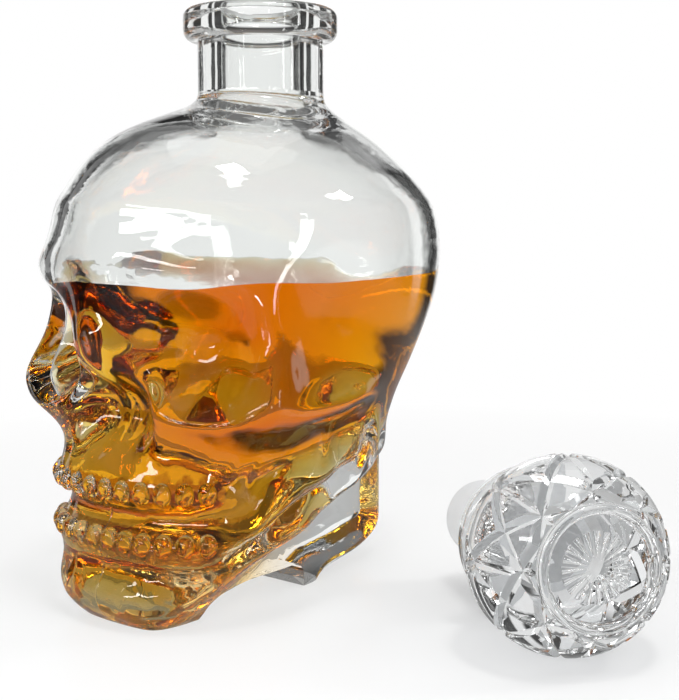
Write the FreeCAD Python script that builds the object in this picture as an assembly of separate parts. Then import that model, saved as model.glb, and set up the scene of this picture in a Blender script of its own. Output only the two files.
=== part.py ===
import FreeCAD, Part
import math
import os

V = FreeCAD.Vector

# A skull-shaped decanter of thick blown glass, part filled with spirit, with its cut-glass ball
# stopper taken out and lying on the table. The neck stands on the Z axis, the table is at zero
# height, and the face looks along -Y. All lengths are millimetres, all angles degrees.

# Skull, outside
TOTAL_HEIGHT = 160.0       # table to the top of the lip
NECK_HEIGHT = 19.0         # foot of the straight neck to the top of the lip
SHOULDER_HEIGHT = TOTAL_HEIGHT - NECK_HEIGHT
FACE_REACH = 62.0          # neck axis to the forehead
BACK_REACH = 61.0          # neck axis to the back of the head
HALF_WIDTH = 47.0          # middle plane to the side of the head
FACE_CENTRE = 10.0         # the middle of the face lies this far before the neck axis
JAW_SOFTNESS = 4.0         # half height of the round under the jaw and the skull base

# Rear foot
FOOT_REACH = 39.5          # neck axis to the back wall of the foot
FOOT_FRONT = 50.0          # neck axis to the front of the foot, under the chin
FOOT_HALF_WIDTH = 18.5
HEEL_CONTACT = 6.0         # the foot touches the table up to here, behind the neck axis
HEEL_RISE = 8.0            # the heel slopes up to this height
HEEL_SHARE = 0.6           # how straight the slope is: 1 is a flat bevel
RECESS_FRONT = 43.0        # the open space under the jaw, from behind the chin
RECESS_BACK = 4.0          # to the front of the foot, both before the neck axis
RECESS_ROUND = 4.0

# Teeth
TOOTH_RADIUS = 2.45
TOOTH_HALF_HEIGHT = 3.0
TOOTH_SINK = 1.0           # how far a tooth's axis lies under the gum
UPPER_TEETH = 12
LOWER_TEETH = 12
TOOTH_PITCH = 6.1          # degrees from tooth to tooth round the jaw

# Neck and lip
NECK_RADIUS = 17.5
BORE_RADIUS = 11.0
LIP_RADIUS = 21.4
LIP_HEIGHT = 9.0
LIP_TOP_ROUND = 2.6
LIP_UNDER_ROUND = 3.0
MOUTH_BEVEL = 1.0

# Glass walls and contents
WALL = 4.6
FLOOR_HEIGHT = 12.0        # table to the floor of the hollow under the face
FLOOR_WALL = 5.0           # glass between that floor and the space under the jaw
BASE_WALL = 6.0            # glass over the skull base, behind the jaw
DOME_LIFT = 4.0            # extra glass under the shoulder
DOME_LEDGE = 1.5           # the hollow is wider than the bore by this where they meet
HOLLOW_SOFTNESS = 5.0
WELL_FRONT = 46.0          # the deep part of the hollow, in the jaw
WELL_HALF_WIDTH = 10.0
WELL_BACK = 4.0
CHIN_FLOOR = 5.5           # table to the floor of the hollow in the chin
CHIN_WELL_LENGTH = 12.0    # front to back
CHIN_WELL_HALF_WIDTH = 14.0
CHIN_WELL_ROUND = 4.0
LIQUOR_HEIGHT = 87.5

# Stopper, along its own axis from the middle of the ball
BALL_RADIUS = 24.0
CROWN_RADIUS = 15.0        # flat medallion cut across the far end of the ball
CROWN_RIM = 2.8            # width of the raised round ring
CROWN_DEPTH = 1.3          # depth of the medallion inside the ring
RAY_COUNT = 20
RAY_LENGTH = 6.6
RAY_RADIUS = 0.95
RAY_HUB = 1.8              # plain middle of the sunburst
GROOVE_COUNT = 8           # slanted cuts each way round the ball
GROOVE_DEPTH = 1.3
GROOVE_WIDTH = 3.0
GROOVE_TILT = 52.0
STAR_COUNT = 4             # finer upright cuts, which turn the crossings into stars
STAR_DEPTH = 0.9
STAR_WIDTH = 2.0
COLLAR_RADIUS = 19.0
COLLAR_HEIGHT = 4.6
COLLAR_ROUND = 1.6
COLLAR_SEAT = 25.0         # middle of the ball to the face that sits on the lip
SHANK_RADIUS = 8.4
SLEEVE_GAP = 0.25          # running room of the plug in the bore
SLEEVE_LENGTH = 36.0
SLEEVE_ROUND = 2.0
SLEEVE_CAP = 2.0           # closed end of the sleeve below the shank
STOPPER_X = 101.0          # where the ball lies on the table
STOPPER_Y = -5.2
STOPPER_TURN = 51.5        # plan angle of the crown from the face's own direction
STOPPER_TILT = 5.6         # the ball rests on one of its cuts, with the crown a little up

OVERRUN = 2.0              # how far cutting tools pass the glass

# The skin of the head, from the table up: height as a share of the shoulder height, reach of the
# face, reach of the back and half width as shares of what those sizes have beyond the neck, and
# how square the plan is in front and behind.
PROFILE_SHARES = [
    (0.000, 0.900, 0.370, 0.475, 3.0, 2.6),
    (0.021, 0.975, 0.370, 0.520, 3.0, 2.6),
    (0.071, 1.000, 0.370, 0.559, 3.0, 2.6),
    (0.135, 0.966, 0.370, 0.610, 2.9, 2.5),
    (0.191, 0.944, 0.370, 0.661, 2.7, 2.4),
    (0.248, 0.955, 0.370, 0.695, 2.5, 2.3),
    (0.305, 0.935, 0.355, 0.705, 2.4, 2.2),
    (0.376, 0.945, 0.450, 0.785, 2.3, 2.1),
    (0.447, 0.966, 0.640, 0.881, 2.2, 2.05),
    (0.518, 0.989, 0.865, 0.930, 2.2, 2.0),
    (0.589, 1.005, 1.000, 0.970, 2.2, 2.0),
    (0.645, 1.000, 1.035, 0.990, 2.2, 2.0),
    (0.695, 1.005, 1.010, 1.000, 2.1, 2.0),
    (0.745, 0.995, 0.925, 0.975, 2.05, 2.0),
    (0.794, 0.930, 0.750, 0.870, 2.0, 2.0),
    (0.844, 0.820, 0.525, 0.675, 2.0, 2.0),
    (0.887, 0.630, 0.320, 0.450, 2.0, 2.0),
    (0.922, 0.330, 0.110, 0.200, 2.0, 2.0),
    (0.945, 0.070, 0.015, 0.035, 2.0, 2.0),
    (0.960, 0.000, 0.000, 0.000, 2.0, 2.0),
    (1.000, 0.000, 0.000, 0.000, 2.0, 2.0),
]

# Bones and hollows of the face: angle from the middle of the face and half arc in degrees, height
# and half height as shares of the shoulder height, rise of the glass as a share of the half width,
# how steep the edge is, and how much the middle line climbs for each degree.
BONE_SHARES = {
    "brow": (27.0, 20.0, 0.640, 0.045, 0.070, 1.0, -0.00085),
    "glabella": (0.0, 10.0, 0.631, 0.050, 0.077, 1.0, 0.0),
    "orbit_rim": (31.0, 13.0, 0.390, 0.024, 0.070, 1.2, -0.0007),
    "orbit": (31.5, 14.5, 0.492, 0.092, -0.310, 2.0, -0.0007),
    "nasal_bridge": (0.0, 7.0, 0.518, 0.064, 0.128, 1.0, 0.0),
    "nasal_aperture": (5.5, 8.5, 0.387, 0.067, -0.235, 2.0, 0.0),
    "cheekbone": (47.0, 15.5, 0.411, 0.073, 0.265, 1.0, 0.0),
    "zygomatic_arch": (76.0, 20.0, 0.404, 0.034, 0.160, 1.3, 0.0006),
    "temple": (80.0, 17.0, 0.560, 0.092, -0.128, 1.0, 0.0),
    "frontal_process": (52.0, 7.0, 0.497, 0.085, 0.125, 1.2, 0.0),
    "cheek_hollow": (57.0, 14.0, 0.280, 0.053, -0.138, 1.2, 0.0),
    "upper_gum": (0.0, 40.0, 0.262, 0.043, 0.055, 1.6, 0.0),
    "mouth": (0.0, 48.0, 0.209, 0.024, -0.072, 1.6, 0.0),
    "lower_gum": (0.0, 38.0, 0.156, 0.032, 0.043, 1.6, 0.0),
    "under_lip": (0.0, 34.0, 0.106, 0.025, -0.034, 1.4, 0.0),
    "chin_boss": (0.0, 22.0, 0.057, 0.043, 0.043, 1.0, 0.0),
    "jaw_angle": (64.0, 9.0, 0.199, 0.064, 0.085, 1.0, 0.0),
    "mastoid": (99.0, 8.5, 0.312, 0.057, 0.128, 1.0, 0.0),
    "ear_hollow": (85.0, 5.5, 0.319, 0.046, -0.085, 1.0, 0.0),
}

# Lower edge of the jaw and of the skull base: angle from the middle of the face, and height as a
# share of the shoulder height. Below it only the narrow foot is left.
UNDERSIDE_SHARES = [
    (0.0, -0.085), (10.0, -0.057), (18.0, -0.021), (26.0, 0.018), (33.0, 0.046), (42.0, 0.078),
    (50.0, 0.099), (66.0, 0.135), (80.0, 0.163), (90.0, 0.180), (120.0, 0.230), (150.0, 0.262),
    (180.0, 0.277),
]

UPPER_TEETH_SHARE = 0.255      # height of the upper row on the shoulder height
LOWER_TEETH_SHARE = 0.163
INNER_BONE_SHARE = 0.7         # the hollow follows the raised bones only this much
CENTRE_START_SHARE = 0.674     # from here up the plan's middle moves back under the neck
CENTRE_END_SHARE = 0.957
FLOOR_SHARE = 0.55             # width of the rounded floor of the hollow
FLOOR_ROUND_SHARE = 0.08       # height over which that floor rounds up
AROUND = 64                    # control points round one ring of the skin
FACE_ROWS = 30                 # control rings of the skin up to the brow, and above it
DOME_ROWS = 22
BROW_SHARE = 0.72
FOOT_SQUARENESS = 6.0


def eased(t):
    t = min(1.0, max(0.0, t))
    return t * t * (3 - 2 * t)


def table_slope(rows, i, column):
    if i in (0, len(rows) - 1):
        a, b = (rows[0], rows[1]) if i == 0 else (rows[-2], rows[-1])
        return (b[column] - a[column]) / (b[0] - a[0])
    before = (rows[i][column] - rows[i - 1][column]) / (rows[i][0] - rows[i - 1][0])
    after = (rows[i + 1][column] - rows[i][column]) / (rows[i + 1][0] - rows[i][0])
    if before * after <= 0:
        return 0.0
    return 2 * before * after / (before + after)


def read_table(rows, at, column):
    """A smooth curve through one column of a table, with no overshoot between its rows."""
    if at <= rows[0][0]:
        return rows[0][column]
    if at >= rows[-1][0]:
        return rows[-1][column]
    i = max(k for k in range(len(rows) - 1) if rows[k][0] <= at)
    span = rows[i + 1][0] - rows[i][0]
    t = (at - rows[i][0]) / span
    return (rows[i][column] * (1 + 2 * t) * (1 - t) ** 2
            + rows[i + 1][column] * t * t * (3 - 2 * t)
            + table_slope(rows, i, column) * span * t * (1 - t) ** 2
            + table_slope(rows, i + 1, column) * span * t * t * (t - 1))


def plan_radius(angle, front, back, side, front_power, back_power):
    """Distance from the middle of a rounded plan to its edge; angle 0 is the face."""
    along = math.cos(math.radians(angle))
    across = abs(math.sin(math.radians(angle)))
    reach, power = (front, front_power) if along >= 0 else (back, back_power)
    return ((abs(along) / reach) ** power + (across / side) ** power) ** (-1 / power)


def centre_offset(z):
    start = CENTRE_START_SHARE * SHOULDER_HEIGHT
    end = CENTRE_END_SHARE * SHOULDER_HEIGHT
    return FACE_CENTRE * (1 - eased((z - start) / (end - start)))


def head_radius(angle, z, offset):
    """The smooth head without its bones, about a middle that lies offset before the neck axis."""
    share = z / SHOULDER_HEIGHT
    front = NECK_RADIUS + read_table(PROFILE_SHARES, share, 1) * (FACE_REACH - NECK_RADIUS)
    back = NECK_RADIUS + read_table(PROFILE_SHARES, share, 2) * (BACK_REACH - NECK_RADIUS)
    side = NECK_RADIUS + read_table(PROFILE_SHARES, share, 3) * (HALF_WIDTH - NECK_RADIUS)
    front_power = read_table(PROFILE_SHARES, share, 4)
    back_power = read_table(PROFILE_SHARES, share, 5)
    return plan_radius(angle, front - offset, back + offset, side, front_power, back_power)


def bone_rise(angle, z, raised_share):
    """Sum of the bones and hollows at one place; raised bones count by raised_share."""
    share = z / SHOULDER_HEIGHT
    total = 0.0
    for middle, arc, height, half_height, rise, steepness, climb in BONE_SHARES.values():
        u = (abs(angle) - middle) / arc
        v = (share - height - climb * (abs(angle) - middle)) / half_height
        weight = raised_share if rise > 0 else 1.0
        total += weight * rise * math.exp(-((u * u + v * v) ** steepness))
    return total * HALF_WIDTH


def foot_radius(angle, z):
    rise = min(1.0, z / HEEL_RISE) ** HEEL_SHARE
    back = HEEL_CONTACT + (FOOT_REACH - HEEL_CONTACT) * rise
    offset = centre_offset(z)
    return plan_radius(angle, FOOT_FRONT - offset, back + offset, FOOT_HALF_WIDTH,
                       PROFILE_SHARES[0][4], FOOT_SQUARENESS)


def underside(angle):
    return read_table(UNDERSIDE_SHARES, abs(angle), 1) * SHOULDER_HEIGHT


def outer_radius(angle, z):
    head = head_radius(angle, z, centre_offset(z)) + bone_rise(angle, z, 1.0)
    foot = foot_radius(angle, z)
    if foot > head and abs(angle) < 90:
        return head
    blend = eased((z - underside(angle) + JAW_SOFTNESS) / (2 * JAW_SOFTNESS))
    return foot + (head - foot) * blend


def inner_radius(angle, z):
    dome = eased((z - BROW_SHARE * SHOULDER_HEIGHT) / (SHOULDER_HEIGHT - DOME_LIFT
                                                      - BROW_SHARE * SHOULDER_HEIGHT))
    neck_wall = NECK_RADIUS - BORE_RADIUS - DOME_LEDGE
    wall = WALL + (neck_wall - WALL) * dome
    offset = centre_offset(z)
    head = head_radius(angle, z + DOME_LIFT * dome, offset) - wall
    head += bone_rise(angle, z, INNER_BONE_SHARE)
    well = plan_radius(angle, WELL_FRONT - offset, WELL_BACK + offset, WELL_HALF_WIDTH, 2, 2)
    blend = eased((z - underside(angle) - BASE_WALL + HOLLOW_SOFTNESS) / (2 * HOLLOW_SOFTNESS))
    rise = max(0.0, 1 - (z - FLOOR_HEIGHT) / (FLOOR_ROUND_SHARE * SHOULDER_HEIGHT))
    floor = FLOOR_SHARE + (1 - FLOOR_SHARE) * math.sqrt(1 - rise * rise)
    return floor * (well + (head - well) * blend)


def skin_ring(radius_at, z):
    ring = []
    for k in range(AROUND):
        angle = 360 * k / AROUND - 180
        radius = radius_at(angle, z)
        ring.append(V(radius * math.sin(math.radians(angle)),
                      -centre_offset(z) - radius * math.cos(math.radians(angle)), z))
    return ring


def row_heights(start, end):
    brow = BROW_SHARE * SHOULDER_HEIGHT
    lower = [start + (brow - start) * k / FACE_ROWS for k in range(FACE_ROWS)]
    upper = [brow + (end - brow) * k / DOME_ROWS for k in range(DOME_ROWS + 1)]
    return lower + upper


def skin_solid(radius_at, start, end):
    """One smooth closed skin over a net of rings, capped flat at both ends."""
    net = [skin_ring(radius_at, z) for z in row_heights(start, end)]
    rows = len(net)
    skin = Part.BSplineSurface()
    skin.buildFromPolesMultsKnots(net, [4] + [1] * (rows - 4) + [4], [1] * (AROUND + 1),
                                  list(range(rows - 2)), list(range(AROUND + 1)),
                                  False, True, 3, 3)
    wall = skin.toShape()
    ends = [Part.Face(Part.Wire([e])) for e in wall.Edges if len(e.Vertexes) == 1]
    closed = Part.Compound([wall] + ends)
    closed.sewShape()
    return Part.makeSolid(closed.Shells[0])


def tooth(angle, z):
    """An egg-shaped tooth, standing upright with its back sunk into the gum."""
    stretch = FreeCAD.Matrix()
    stretch.scale(1, 1, TOOTH_HALF_HEIGHT / TOOTH_RADIUS)
    egg = Part.makeSphere(TOOTH_RADIUS)
    egg.rotate(V(0, 0, 0), V(0, 0, 1), angle + 90)
    egg = egg.transformGeometry(stretch)
    radius = outer_radius(angle, z) - TOOTH_SINK
    egg.translate(V(radius * math.sin(math.radians(angle)),
                    -centre_offset(z) - radius * math.cos(math.radians(angle)), z))
    return egg


def teeth():
    rows = []
    for count, share in ((UPPER_TEETH, UPPER_TEETH_SHARE), (LOWER_TEETH, LOWER_TEETH_SHARE)):
        for k in range(count):
            rows.append(tooth((k - (count - 1) / 2) * TOOTH_PITCH, share * SHOULDER_HEIGHT))
    return rows


def round_rim(solid, radius, pick):
    """Round the highest or lowest circular rim of a turned piece; pick is max or min."""
    rims = [e for e in solid.Edges if len(e.Vertexes) == 1]
    return solid.makeFillet(radius, [pick(rims, key=lambda e: e.BoundBox.ZMax)])


def lip():
    ring = Part.makeCylinder(LIP_RADIUS, LIP_HEIGHT, V(0, 0, TOTAL_HEIGHT - LIP_HEIGHT))
    return round_rim(round_rim(ring, LIP_TOP_ROUND, max), LIP_UNDER_ROUND, min)


def chin_well():
    """The hollow's lowest pocket, which keeps one wall of glass behind the front of the chin."""
    front = outer_radius(0, CHIN_FLOOR) + centre_offset(CHIN_FLOOR) - WALL
    block = Part.makeBox(2 * CHIN_WELL_HALF_WIDTH, CHIN_WELL_LENGTH, FLOOR_HEIGHT,
                         V(-CHIN_WELL_HALF_WIDTH, -front, CHIN_FLOOR))
    return block.makeFillet(CHIN_WELL_ROUND, block.Edges)


def hollow():
    """The space inside the glass, from the floor of the jaw up through the mouth."""
    cavity_top = SHOULDER_HEIGHT - DOME_LIFT
    space = skin_solid(inner_radius, FLOOR_HEIGHT, cavity_top)
    bore_start = cavity_top - OVERRUN
    bore = Part.makeCylinder(BORE_RADIUS, TOTAL_HEIGHT + OVERRUN - bore_start, V(0, 0, bore_start))
    bevel = Part.makeCone(BORE_RADIUS, BORE_RADIUS + MOUTH_BEVEL, MOUTH_BEVEL,
                          V(0, 0, TOTAL_HEIGHT - MOUTH_BEVEL))
    return space.fuse([bore, bevel, chin_well()])


def jaw_recess():
    """The open space under the jaw, between the chin and the foot."""
    height = FLOOR_HEIGHT - FLOOR_WALL
    block = Part.makeBox(2 * HALF_WIDTH, RECESS_FRONT - RECESS_BACK, height + OVERRUN,
                         V(-HALF_WIDTH, -RECESS_FRONT, -OVERRUN))
    across = [e for e in block.Edges
              if e.BoundBox.ZMin > 0 and e.BoundBox.XLength > e.BoundBox.YLength]
    return block.makeFillet(RECESS_ROUND, across)


def skull_bottle(space):
    glass = skin_solid(outer_radius, 0, TOTAL_HEIGHT - LIP_HEIGHT / 2)
    return glass.fuse([lip()] + teeth()).cut([space, jaw_recess()])


def liquor_fill(space):
    size = 2 * (FACE_REACH + BACK_REACH)
    below = Part.makeBox(size, size, LIQUOR_HEIGHT + OVERRUN, V(-size / 2, -size / 2, -OVERRUN))
    return space.common(below)


def crown_height():
    return math.sqrt(BALL_RADIUS ** 2 - CROWN_RADIUS ** 2)


def groove(azimuth, tilt, depth, width):
    """A V-cut that runs round the ball on a great circle, tilted from the stopper's axis."""
    outside = BALL_RADIUS + depth
    points = [V(BALL_RADIUS - depth, 0, 0), V(outside, 0, width), V(outside, 0, -width)]
    ring = Part.Face(Part.makePolygon(points + points[:1])).revolve(V(0, 0, 0), V(0, 0, 1), 360)
    ring.rotate(V(0, 0, 0), V(0, 1, 0), tilt)
    ring.rotate(V(0, 0, 0), V(0, 0, 1), azimuth)
    return ring


def ball():
    head = Part.makeSphere(BALL_RADIUS)
    for k in range(GROOVE_COUNT):
        head = head.cut(groove(360 * k / GROOVE_COUNT, GROOVE_TILT, GROOVE_DEPTH, GROOVE_WIDTH))
    for k in range(STAR_COUNT):
        head = head.cut(groove(180 * k / STAR_COUNT, 90, STAR_DEPTH, STAR_WIDTH))
    return head


def sunburst(floor):
    rays = []
    for k in range(RAY_COUNT):
        turn = math.radians(360 * k / RAY_COUNT)
        out = V(math.cos(turn), math.sin(turn), 0)
        start = out * RAY_HUB + V(0, 0, floor)
        rays.append(Part.makeCone(0, RAY_RADIUS, RAY_LENGTH, start, out))
    return rays


def crystal_stopper():
    top = crown_height()
    reach = 2 * BALL_RADIUS
    head = ball().cut(Part.makeCylinder(reach, reach, V(0, 0, top)))
    head = head.cut(Part.makeCylinder(CROWN_RADIUS - CROWN_RIM, CROWN_DEPTH + OVERRUN,
                                      V(0, 0, top - CROWN_DEPTH)))
    head = head.cut(sunburst(top - CROWN_DEPTH))
    bead = Part.makeTorus(CROWN_RADIUS - CROWN_RIM / 2, CROWN_RIM / 2, V(0, 0, top))
    collar = Part.makeCylinder(COLLAR_RADIUS, COLLAR_HEIGHT, V(0, 0, -COLLAR_SEAT))
    collar = round_rim(round_rim(collar, COLLAR_ROUND, max), COLLAR_ROUND, min)
    shank_length = SLEEVE_LENGTH - SLEEVE_CAP + COLLAR_HEIGHT / 2
    shank = Part.makeCylinder(SHANK_RADIUS, shank_length,
                              V(0, 0, SLEEVE_CAP - COLLAR_SEAT - SLEEVE_LENGTH))
    return head.fuse([bead, collar, shank])


def stopper_sleeve():
    radius = BORE_RADIUS - SLEEVE_GAP
    low = -COLLAR_SEAT - SLEEVE_LENGTH
    tube = round_rim(Part.makeCylinder(radius, SLEEVE_LENGTH, V(0, 0, low)), SLEEVE_ROUND, min)
    return tube.cut(Part.makeCylinder(SHANK_RADIUS, SLEEVE_LENGTH, V(0, 0, low + SLEEVE_CAP)))


def laid_down(piece):
    """Turn a stopper piece from its own axis to the way it lies beside the decanter."""
    piece = piece.copy()
    piece.rotate(V(0, 0, 0), V(1, 0, 0), 90 - STOPPER_TILT)
    piece.rotate(V(0, 0, 0), V(0, 0, 1), STOPPER_TURN)
    piece.translate(V(STOPPER_X, STOPPER_Y, BALL_RADIUS))
    return piece


def main():
    os.makedirs("parts", exist_ok=True)
    space = hollow()
    nodes = {
        "skull_bottle": skull_bottle(space),
        "liquor_fill": liquor_fill(space),
        "crystal_stopper": laid_down(crystal_stopper()),
        "stopper_sleeve": laid_down(stopper_sleeve()),
    }
    for name, shape in nodes.items():
        shape.exportStep("parts/" + name + ".step")
        box = shape.BoundBox
        print(name, "solids", len(shape.Solids), "valid", shape.isValid(),
              "volume ml", round(shape.Volume / 1000, 1),
              "x", round(box.XMin, 1), round(box.XMax, 1),
              "y", round(box.YMin, 1), round(box.YMax, 1),
              "z", round(box.ZMin, 2), round(box.ZMax, 2))


main()
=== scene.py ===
import bpy
import math
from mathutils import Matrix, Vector
from mathutils.bvhtree import BVHTree


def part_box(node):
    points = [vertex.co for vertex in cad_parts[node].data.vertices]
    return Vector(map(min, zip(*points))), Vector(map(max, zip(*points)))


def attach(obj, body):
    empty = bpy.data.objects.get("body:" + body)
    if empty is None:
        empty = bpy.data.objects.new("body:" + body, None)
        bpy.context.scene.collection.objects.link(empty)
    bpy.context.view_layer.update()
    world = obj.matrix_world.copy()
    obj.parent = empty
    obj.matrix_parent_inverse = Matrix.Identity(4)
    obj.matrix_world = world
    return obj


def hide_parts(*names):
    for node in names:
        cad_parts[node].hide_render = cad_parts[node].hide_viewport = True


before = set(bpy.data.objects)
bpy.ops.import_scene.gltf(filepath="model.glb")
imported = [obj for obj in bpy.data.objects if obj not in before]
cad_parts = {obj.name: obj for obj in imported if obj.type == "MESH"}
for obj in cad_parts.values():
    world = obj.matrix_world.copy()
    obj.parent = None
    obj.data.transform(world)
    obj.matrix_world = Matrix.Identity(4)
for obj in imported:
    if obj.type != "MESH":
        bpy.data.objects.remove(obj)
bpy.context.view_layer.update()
scene = bpy.context.scene
print("frame loaded:", sorted(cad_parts))

mergeDistance = 0.000002  # a solid's mesh comes as loose triangles
photoAngle = 42.0  # degrees round from the face to the viewer


class Wire:  # one output socket, so that shader maths reads as plain maths
    def __init__(self, tree, socket):
        self.tree = tree
        self.socket = socket

    @staticmethod
    def add(tree, kind, settings=None, values=None, out=0):
        node = tree.nodes.new(kind)
        for key, value in (settings or {}).items():
            if key == "stops":
                Wire.setStops(node.color_ramp.elements, value)
            else:
                setattr(node, key, value)
        for key, value in (values or {}).items():
            if isinstance(value, Wire):
                tree.links.new(value.socket, node.inputs[key])
            else:
                node.inputs[key].default_value = value
        return Wire(tree, node.outputs[out]) if len(node.outputs) else None

    @staticmethod
    def setStops(elements, stops):
        while len(elements) < len(stops):
            elements.new(0.5)
        for element, (position, colour) in zip(elements, stops):
            element.position = position
            element.color = colour

    def pick(self, out):  # another output of the same node
        return Wire(self.tree, self.socket.node.outputs[out])

    def parts(self):  # x, y and z of a vector
        split = Wire.add(self.tree, "ShaderNodeSeparateXYZ", values={0: self})
        return split, split.pick(1), split.pick(2)

    def maths(self, operation, first, second=None):
        values = {0: first} if second is None else {0: first, 1: second}
        return Wire.add(self.tree, "ShaderNodeMath", {"operation": operation}, values)

    def __add__(self, other):
        return self.maths("ADD", self, other)

    __radd__ = __add__

    def __mul__(self, other):
        return self.maths("MULTIPLY", self, other)

    __rmul__ = __mul__

    def __sub__(self, other):
        return self.maths("SUBTRACT", self, other)

    def __rsub__(self, other):
        return self.maths("SUBTRACT", other, self)

    def __gt__(self, other):
        return self.maths("GREATER_THAN", self, other)

    def __lt__(self, other):
        return self.maths("LESS_THAN", self, other)

    def root(self):
        return self.maths("SQRT", self)

    def absolute(self):
        return self.maths("ABSOLUTE", self)

    def capped(self):
        return Wire.add(self.tree, "ShaderNodeClamp", values={0: self})


def grey(level):
    return (level, level, level, 1.0)


def ramp(value, start, end):  # 0 at start, 1 at end
    return ((value - start) * (1 / (end - start))).capped()


def spotOn(tree):  # object coordinates, in metres
    return Wire.add(tree, "ShaderNodeTexCoord", out="Object")


def noise(tree, spot, scale, detail=2.0, twist=0.0):
    return Wire.add(tree, "ShaderNodeTexNoise",
                    values={"Vector": spot, "Scale": scale, "Detail": detail, "Distortion": twist})


def mixColour(tree, factor, first, second):
    return Wire.add(tree, "ShaderNodeMixRGB", values={0: factor, 1: first, 2: second})


def mixShader(tree, factor, first, second):
    return Wire.add(tree, "ShaderNodeMixShader", values={0: factor, 1: first, 2: second})


def principled(tree, values):
    return Wire.add(tree, "ShaderNodeBsdfPrincipled", values=values)


def clearGlass(tree, colour, ior, more=None):
    values = {"Base Color": colour, "Roughness": 0.0, "IOR": ior, "Transmission Weight": 1.0}
    values.update(more or {})
    return principled(tree, values)


def letLightThrough(tree, shader, tint):  # a soft pale shadow instead of a black one
    path = Wire.add(tree, "ShaderNodeLightPath", out="Is Shadow Ray")
    passing = (path + path.pick("Is Diffuse Ray")).capped()
    clear = Wire.add(tree, "ShaderNodeBsdfTransparent", values={"Color": tint})
    return mixShader(tree, passing, shader, clear)


def newFinish(name):
    material = bpy.data.materials.new(name)
    material.use_nodes = True
    material.node_tree.nodes.clear()
    return material, material.node_tree


def closeFinish(tree, surface, volume=None):
    links = {"Surface": surface}
    if volume:
        links["Volume"] = volume
    Wire.add(tree, "ShaderNodeOutputMaterial", values=links)


def copyNode(node, name):  # a merged copy of a solid's mesh, selected and free to be shaped
    obj = bpy.data.objects.new(name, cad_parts[node].data.copy())
    scene.collection.objects.link(obj)
    obj.data.materials.clear()
    bpy.ops.object.select_all(action="DESELECT")
    obj.select_set(True)
    bpy.context.view_layer.objects.active = obj
    if obj.data.has_custom_normals:
        bpy.ops.mesh.customdata_custom_splitnormals_clear()
    bpy.ops.object.mode_set(mode="EDIT")
    bpy.ops.mesh.select_all(action="SELECT")
    bpy.ops.mesh.remove_doubles(threshold=mergeDistance)
    bpy.ops.object.mode_set(mode="OBJECT")
    return obj


def fatten(distance):  # moves every wall of the active piece outwards
    bpy.ops.object.mode_set(mode="EDIT")
    bpy.ops.mesh.select_all(action="SELECT")
    bpy.ops.transform.shrink_fatten(value=distance)
    bpy.ops.object.mode_set(mode="OBJECT")


def smooth(degrees):  # edges sharper than this stay crisp
    bpy.ops.object.shade_smooth_by_angle(angle=math.radians(degrees))


def settle(obj, body, node):
    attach(obj, body)
    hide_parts(node)
    print("piece", obj.name, len(obj.data.polygons), "faces")


# amber spirit, pressed a hair into the glass so that no film of air is left
spirit = {
    "grip": 0.00012,
    "smoothAngle": 40.0,
    "sideIor": 0.9,  # from glass into spirit
    "topIor": 1.06,  # from air into spirit, low so that the amber shows in the surface
    "topBand": 0.00005,
    "density": 95.0,
    "colour": (0.963, 0.795, 0.03, 1.0),
}


def makeSpirit():
    obj = copyNode("liquor_fill", "amber_spirit")
    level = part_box("liquor_fill")[1].z
    fatten(spirit["grip"])
    for vertex in obj.data.vertices:  # the surface goes back to its level
        if vertex.co.z > level - spirit["grip"] * 2:
            vertex.co.z = level
    smooth(spirit["smoothAngle"])
    finish, tree = newFinish("amberSpirit")
    height = spotOn(tree).parts()[2]
    side = clearGlass(tree, grey(1.0), spirit["sideIor"])
    top = clearGlass(tree, grey(1.0), spirit["topIor"])
    skin = mixShader(tree, height > level - spirit["topBand"], side, top)
    body = Wire.add(tree, "ShaderNodeVolumeAbsorption",
                    values={"Color": spirit["colour"], "Density": spirit["density"]})
    closeFinish(tree, letLightThrough(tree, skin, grey(1.0)), body)
    obj.data.materials.append(finish)
    obj.visible_shadow = False  # the glass alone shades the table, so the shadow stays grey
    obj.visible_diffuse = False
    settle(obj, "decanter", "liquor_fill")
    return level


# the bottle: thick glass, blown into a two-part mould
# front limits are measured from the neck axis towards the face, top limits from the table
bottle = {
    "tint": (0.955, 0.968, 0.958, 1.0),
    "ior": 1.5,
    "shadow": (0.885, 0.885, 0.88, 1.0),
    "smoothAngle": 35.0,
    "levelReach": 0.002,  # wall this near the spirit is cut along the spirit's surface
    "wetReach": 0.0008,  # wall this near the spirit is wet
    "rippleScale": 70.0,  # slow waves all over
    "rippleDetail": 1.0,
    "rippleDepth": 0.000012,
    "foldScale": 75.0,  # soft folds in the face
    "foldDetail": 0.0,
    "foldTwist": 0.8,
    "foldDepth": 0.0009,
    "foldFront": (0.012, 0.045),
    "foldTop": (0.070, 0.088),
    "chinScale": 130.0,  # small folds in the chin
    "chinDetail": 0.0,
    "chinTwist": 1.0,
    "chinDepth": 0.0006,
    "chinFront": (0.0, 0.02),
    "chinTop": (0.016, 0.026),
    "seamHalfWidth": 0.0004,  # mould seam down the middle of the chin
    "seamDepth": 0.00012,
    "seamTop": 0.034,
    "paintedAmberReflection": (0.90, 0.56, 0.13, 1.0),  # painted reflection: the spirit's amber, seen by refraction and reflection in the thick chin, painted into the glass colour
    "paintedAmberFront": (0.0, 0.03),
    "paintedAmberTop": (0.018, 0.034),
    "paintedShadeTint": (0.28, 0.14, 0.04, 1.0),  # painted shade: dark brown lines along the folds and hollows
    "paintedShadeBend": (0.470, 0.494),
    "paintedShadeTop": (0.075, 0.090),
}


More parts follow.
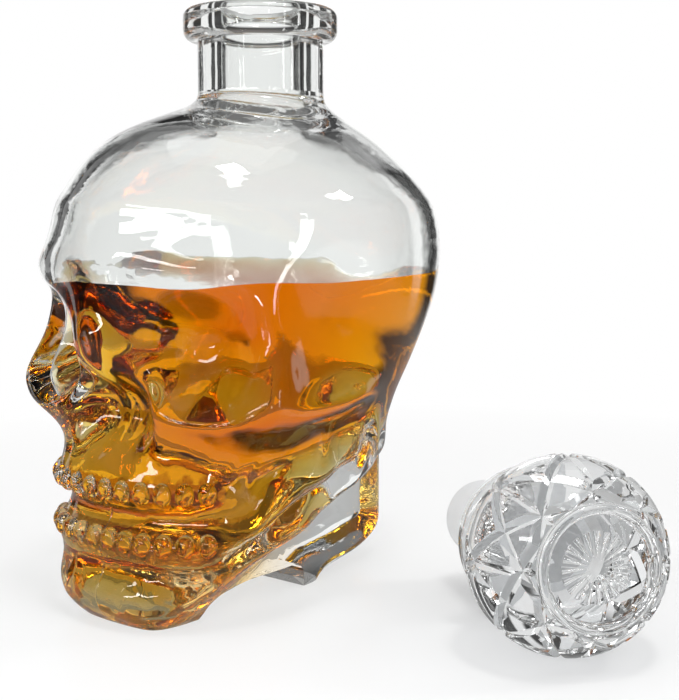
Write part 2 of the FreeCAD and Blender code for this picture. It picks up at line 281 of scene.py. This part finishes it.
def glassRelief(tree):
    spot = spotOn(tree)
    x, y, z = spot.parts()
    ripple = noise(tree, spot, bottle["rippleScale"], bottle["rippleDetail"])
    folds = noise(tree, spot, bottle["foldScale"], bottle["foldDetail"], bottle["foldTwist"])
    small = noise(tree, spot, bottle["chinScale"], bottle["chinDetail"], bottle["chinTwist"])
    face = ramp(0 - y, *bottle["foldFront"]) * (1 - ramp(z, *bottle["foldTop"]))
    chin = ramp(0 - y, *bottle["chinFront"]) * (1 - ramp(z, *bottle["chinTop"]))
    seam = (1 - x.absolute() * (1 / bottle["seamHalfWidth"])).capped()
    seam = seam * (z < bottle["seamTop"]) * (y < 0)
    height = (ripple * bottle["rippleDepth"] + folds * face * bottle["foldDepth"]
              + small * chin * bottle["chinDepth"] + seam * bottle["seamDepth"])
    return Wire.add(tree, "ShaderNodeBump",
                    values={"Strength": 1.0, "Distance": 1.0, "Height": height})


def glassTintWithPaintedLight(tree):
    y, z = spotOn(tree).parts()[1:]
    # painted reflection: the front of the chin is tinted amber, standing in for the spirit seen
    # through it
    paintedAmberMask = ramp(0 - y, *bottle["paintedAmberFront"]) * (1 - ramp(z, *bottle["paintedAmberTop"]))
    # painted shade: the glass colour darkens to brown in hollows and creases, read from the mesh's
    # pointiness
    bend = Wire.add(tree, "ShaderNodeNewGeometry", out="Pointiness")
    paintedShade = (1 - ramp(bend, *bottle["paintedShadeBend"])) * (1 - ramp(z, *bottle["paintedShadeTop"]))
    amber = mixColour(tree, paintedAmberMask, bottle["tint"], bottle["paintedAmberReflection"])
    return mixColour(tree, paintedShade, amber, bottle["paintedShadeTint"])


def glassFinish():
    finish, tree = newFinish("blownGlass")
    glass = clearGlass(tree, glassTintWithPaintedLight(tree), bottle["ior"], {"Normal": glassRelief(tree)})
    closeFinish(tree, letLightThrough(tree, glass, bottle["shadow"]))
    return finish


def wetFinish():  # where spirit touches glass only the spirit's own face bends light
    finish, tree = newFinish("wetWall")
    closeFinish(tree, principled(tree, {"Base Color": grey(1.0), "Alpha": 0.0}))
    return finish


def makeBottle(level):
    obj = copyNode("skull_bottle", "skull_glass")
    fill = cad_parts["liquor_fill"].data
    spiritSkin = BVHTree.FromPolygons([v.co for v in fill.vertices],
                                      [p.vertices for p in fill.polygons])

    def near(point, reach):
        return spiritSkin.find_nearest(point, reach)[0] is not None

    bpy.ops.object.mode_set(mode="EDIT")
    bpy.ops.mesh.select_all(action="DESELECT")
    bpy.ops.object.mode_set(mode="OBJECT")
    for polygon in obj.data.polygons:  # the inner wall is cut where the spirit ends
        heights = [obj.data.vertices[i].co.z for i in polygon.vertices]
        if min(heights) < level < max(heights):
            polygon.select = near(polygon.center, bottle["levelReach"])
    bpy.ops.object.mode_set(mode="EDIT")
    bpy.ops.mesh.bisect(plane_co=(0, 0, level), plane_no=(0, 0, 1))
    bpy.ops.object.mode_set(mode="OBJECT")
    obj.data.materials.append(glassFinish())
    obj.data.materials.append(wetFinish())
    wetFaces = 0
    for polygon in obj.data.polygons:
        if polygon.center.z < level and near(polygon.center, bottle["wetReach"]):
            polygon.material_index = 1
            wetFaces += 1
    print("wet faces", wetFaces)
    smooth(bottle["smoothAngle"])
    settle(obj, "decanter", "skull_bottle")


# cut-crystal ball with collar and shank
crystal = {
    "tint": (0.975, 0.985, 0.985, 1.0),
    "ior": 1.54,
    "shadow": (0.80, 0.805, 0.81, 1.0),
    "smoothAngle": 22.0,
    "paintedShadeTint": (0.80, 0.81, 0.82, 1.0),  # painted shade: greyer along the cuts
    "paintedShadeBend": (0.440, 0.480),
}


def makeStopper():
    obj = copyNode("crystal_stopper", "crystal_ball")
    smooth(crystal["smoothAngle"])
    finish, tree = newFinish("cutCrystal")
    # painted shade: the crystal greys in the hollows of the cuts, read from the mesh's pointiness
    bend = Wire.add(tree, "ShaderNodeNewGeometry", out="Pointiness")
    paintedShade = 1 - ramp(bend, *crystal["paintedShadeBend"])
    colour = mixColour(tree, paintedShade, crystal["tint"], crystal["paintedShadeTint"])
    glass = clearGlass(tree, colour, crystal["ior"])
    closeFinish(tree, letLightThrough(tree, glass, crystal["shadow"]))
    obj.data.materials.append(finish)
    settle(obj, "stopper", "crystal_stopper")


# frosted sleeve of the plug, a hair off the shank so that the two faces stay apart
sleeve = {
    "slack": 0.00006,
    "smoothAngle": 35.0,
    "dark": (0.87, 0.875, 0.88, 1.0),
    "light": (0.94, 0.945, 0.95, 1.0),
    "cloudScale": 60.0,  # slow change between dark and light
    "darkStop": 0.3,
    "lightStop": 0.7,
    "grainScale": 900.0,  # the frosting
    "grainDetail": 3.0,
    "grainStrength": 0.25,
    "grainDepth": 0.0001,
    "roughness": 0.5,
    "roughSpread": 0.2,
    "ior": 1.45,
    "clearness": 0.35,
    "shadow": 0.75,
}


def makeSleeve():
    obj = copyNode("stopper_sleeve", "frosted_sleeve")
    fatten(-sleeve["slack"])
    smooth(sleeve["smoothAngle"])
    finish, tree = newFinish("frostedPlug")
    spot = spotOn(tree)
    grain = noise(tree, spot, sleeve["grainScale"], sleeve["grainDetail"])
    stops = [(sleeve["darkStop"], sleeve["dark"]), (sleeve["lightStop"], sleeve["light"])]
    colour = Wire.add(tree, "ShaderNodeValToRGB", {"stops": stops},
                      {0: noise(tree, spot, sleeve["cloudScale"])})
    bump = Wire.add(tree, "ShaderNodeBump",
                    values={"Strength": sleeve["grainStrength"],
                            "Distance": sleeve["grainDepth"], "Height": grain})
    skin = principled(tree, {"Base Color": colour,
                             "Roughness": grain * sleeve["roughSpread"] + sleeve["roughness"],
                             "IOR": sleeve["ior"], "Transmission Weight": sleeve["clearness"],
                             "Normal": bump})
    closeFinish(tree, letLightThrough(tree, skin, grey(sleeve["shadow"])))
    obj.data.materials.append(finish)
    settle(obj, "stopper", "stopper_sleeve")


# white table: it keeps the shadow near the decanter and runs out into white paper
table = {
    "size": 3.0,
    "cuts": 8,
    "colour": grey(0.93),
    "ior": 1.12,
    "roughness": 0.28,
    "roughSpread": 0.06,
    "roughScale": 3.0,
    "middle": (0.04, -0.01),
    "paper": (0.15, 0.34),  # over these distances from the middle it turns to bare paper
    "edge": (0.36, 0.60),  # and over these it ends, for glass and for light
    "calm": 0.68,  # a gentler mirror of the table in the glass
    "calmGrey": 0.08,
    "shade": 0.22,  # how bright the table is through glass
    "glow": 0.52,  # and more so on the stopper's side
    "glowFrom": (0.045, 0.075),
}


def makeTable():
    bpy.ops.object.select_all(action="DESELECT")
    bpy.ops.mesh.primitive_plane_add(size=table["size"], location=(0, 0, 0))
    floor = bpy.context.active_object
    floor.name = "table"
    bpy.ops.object.mode_set(mode="EDIT")
    bpy.ops.mesh.subdivide(number_cuts=table["cuts"])
    bpy.ops.object.mode_set(mode="OBJECT")
    finish, tree = newFinish("whiteTable")
    spot = spotOn(tree)
    x, y = spot.parts()[:2]
    path = Wire.add(tree, "ShaderNodeLightPath", out="Is Camera Ray")
    paper = Wire.add(tree, "ShaderNodeEmission", values={"Color": grey(1.0), "Strength": 1.0})
    dull = Wire.add(tree, "ShaderNodeBsdfDiffuse", values={"Color": grey(table["calmGrey"])})
    clear = Wire.add(tree, "ShaderNodeBsdfTransparent")
    rough = noise(tree, spot, table["roughScale"]) * table["roughSpread"] + table["roughness"]
    paint = principled(tree, {"Base Color": table["colour"], "Roughness": rough,
                              "IOR": table["ior"]})
    paint = mixShader(tree, path.pick("Is Glossy Ray") * table["calm"], paint, dull)
    dx = x - table["middle"][0]
    dy = y - table["middle"][1]
    reach = (dx * dx + dy * dy).root()
    direct = mixShader(tree, ramp(reach, *table["paper"]), paint, paper)
    glow = ramp(x, *table["glowFrom"]) * table["glow"] + table["shade"]
    inGlass = mixShader(tree, path.pick("Is Transmission Ray") * glow, paint, paper)
    inGlass = mixShader(tree, ramp(reach, *table["edge"]), inGlass, clear)
    closeFinish(tree, mixShader(tree, path, inGlass, direct))
    floor.data.materials.append(finish)
    print("table laid")


# what glass sees round it: pale cards in a dark room, and plain light for the rest
# stops run from 0, behind the viewer, to 1, straight behind the decanter
room = {
    "backCard": 0.18,
    "side": 0.04,
    "strip": 0.9,
    "card": 1.0,
    "stops": [(0.10, "backCard"), (0.22, "side"), (0.775, "side"), (0.790, "strip"),
              (0.835, "strip"), (0.850, "side"), (0.945, "side"), (0.968, "card")],
    "top": 0.18,
    "topFrom": (0.42, 0.62),
    "wingAcross": (-0.53, -0.46),  # low down, the white card has a wing on the left
    "wingTop": (0.22, 0.32),
    "ambient": 0.58,
}


def makeRoom():
    world = bpy.data.worlds.new("studioLight")
    scene.world = world
    world.use_nodes = True
    tree = world.node_tree
    tree.nodes.clear()
    path = Wire.add(tree, "ShaderNodeLightPath", out="Is Camera Ray")
    x, y, z = Wire.add(tree, "ShaderNodeTexCoord", out="Generated").parts()
    angle = math.radians(photoAngle)
    along = y * math.cos(angle) - x * math.sin(angle)  # 1 straight behind the decanter
    across = x * math.cos(angle) + y * math.sin(angle)  # 1 at the right of the decanter
    stops = [(position, grey(room[tone])) for position, tone in room["stops"]]
    seen = Wire.add(tree, "ShaderNodeValToRGB", {"stops": stops}, {0: along * 0.5 + 0.5})
    seen = mixColour(tree, ramp(z, *room["topFrom"]), seen, grey(room["top"]))
    wing = ramp(across, *room["wingAcross"]) * (across < 0) * (along > 0)
    wing = wing * (1 - ramp(z, *room["wingTop"]))
    seen = mixColour(tree, wing, seen, grey(room["card"]))
    seen = mixColour(tree, path.pick("Is Diffuse Ray"), seen, grey(room["ambient"]))
    seen = mixColour(tree, path, seen, grey(1.0))
    back = Wire.add(tree, "ShaderNodeBackground", values={"Color": seen, "Strength": 1.0})
    Wire.add(tree, "ShaderNodeOutputWorld", values={"Surface": back})
    print("room lit")


softboxes = [  # name, where, aimed at, width, height, watts
    ("overheadWindow", (0.27, -0.07, 1.07), (0.03, -0.04, 0.11), 0.17, 0.15, 2.6),
    ("sideWindow", (0.59, 0.56, 0.71), (0.04, -0.02, 0.11), 0.12, 0.18, 1.4),
    ("frontTop", (0.10, -0.95, 0.50), (0.0, -0.06, 0.09), 1.20, 0.09, 4.2),
    ("cheekStrip", (0.70, -0.37, 0.09), (0.0, -0.04, 0.05), 0.04, 0.16, 0.5),
    ("lipStrip", (-0.05, -0.95, 0.14), (0.0, -0.06, 0.04), 0.30, 0.04, 0.8),
    ("lowStrip", (0.75, 0.14, 0.16), (0.04, -0.03, 0.09), 0.06, 0.30, 0.5),
    ("ceiling", (-0.2, 0.3, 1.4), (0.03, 0.0, 0.05), 0.9, 0.9, 1.6),
]


def makeLights():
    for name, where, aim, width, height, watts in softboxes:
        bpy.ops.object.light_add(type="AREA", location=where)
        lamp = bpy.context.active_object
        lamp.name = name
        lamp.data.shape = "RECTANGLE"
        lamp.data.size = width
        lamp.data.size_y = height
        lamp.data.energy = watts
        lamp.rotation_mode = "QUATERNION"
        lamp.rotation_quaternion = (Vector(aim) - Vector(where)).to_track_quat("-Z", "Y")
        lamp.visible_camera = False
    print("lamps", len(softboxes))


viewpoint = {
    "distance": 0.360,
    "height": 0.108,
    "focal": 1264.0,  # in pixels of the photo, as are the next three
    "right": 77.3,  # the aim, right of the neck axis
    "down": 151.6,  # and below the horizon
    "frameHeight": 700.0,
    "sensor": 36.0,
    "clipStart": 0.01,
}


def makeCamera():
    angle = math.radians(photoAngle)
    yaw = math.atan(viewpoint["right"] / viewpoint["focal"])
    pitch = -math.atan(viewpoint["down"] / viewpoint["focal"])
    ahead = Vector((-math.sin(angle), math.cos(angle), 0))
    side = Vector((math.cos(angle), math.sin(angle), 0))
    turned = ahead * math.cos(yaw) + side * math.sin(yaw)
    look = turned * math.cos(pitch) + Vector((0, 0, 1)) * math.sin(pitch)
    place = (viewpoint["distance"] * math.sin(angle), -viewpoint["distance"] * math.cos(angle),
             viewpoint["height"])
    bpy.ops.object.camera_add(location=place)
    camera = bpy.context.active_object
    camera.name = "photoCamera"
    camera.rotation_mode = "QUATERNION"
    camera.rotation_quaternion = look.to_track_quat("-Z", "Y")
    camera.data.sensor_width = viewpoint["sensor"]
    camera.data.lens = viewpoint["sensor"] * viewpoint["focal"] / viewpoint["frameHeight"]
    camera.data.clip_start = viewpoint["clipStart"]
    scene.camera = camera
    print("camera placed")


scene.view_settings.view_transform = "Standard"
scene.cycles.max_bounces = 64  # light crosses many walls of glass
scene.cycles.transmission_bounces = 64
scene.cycles.glossy_bounces = 12
scene.cycles.transparent_max_bounces = 64
scene.cycles.sample_clamp_indirect = 8.0

fillLevel = makeSpirit()
makeBottle(fillLevel)
makeStopper()
makeSleeve()
makeTable()
makeRoom()
makeLights()
makeCamera()
print("scene ready")
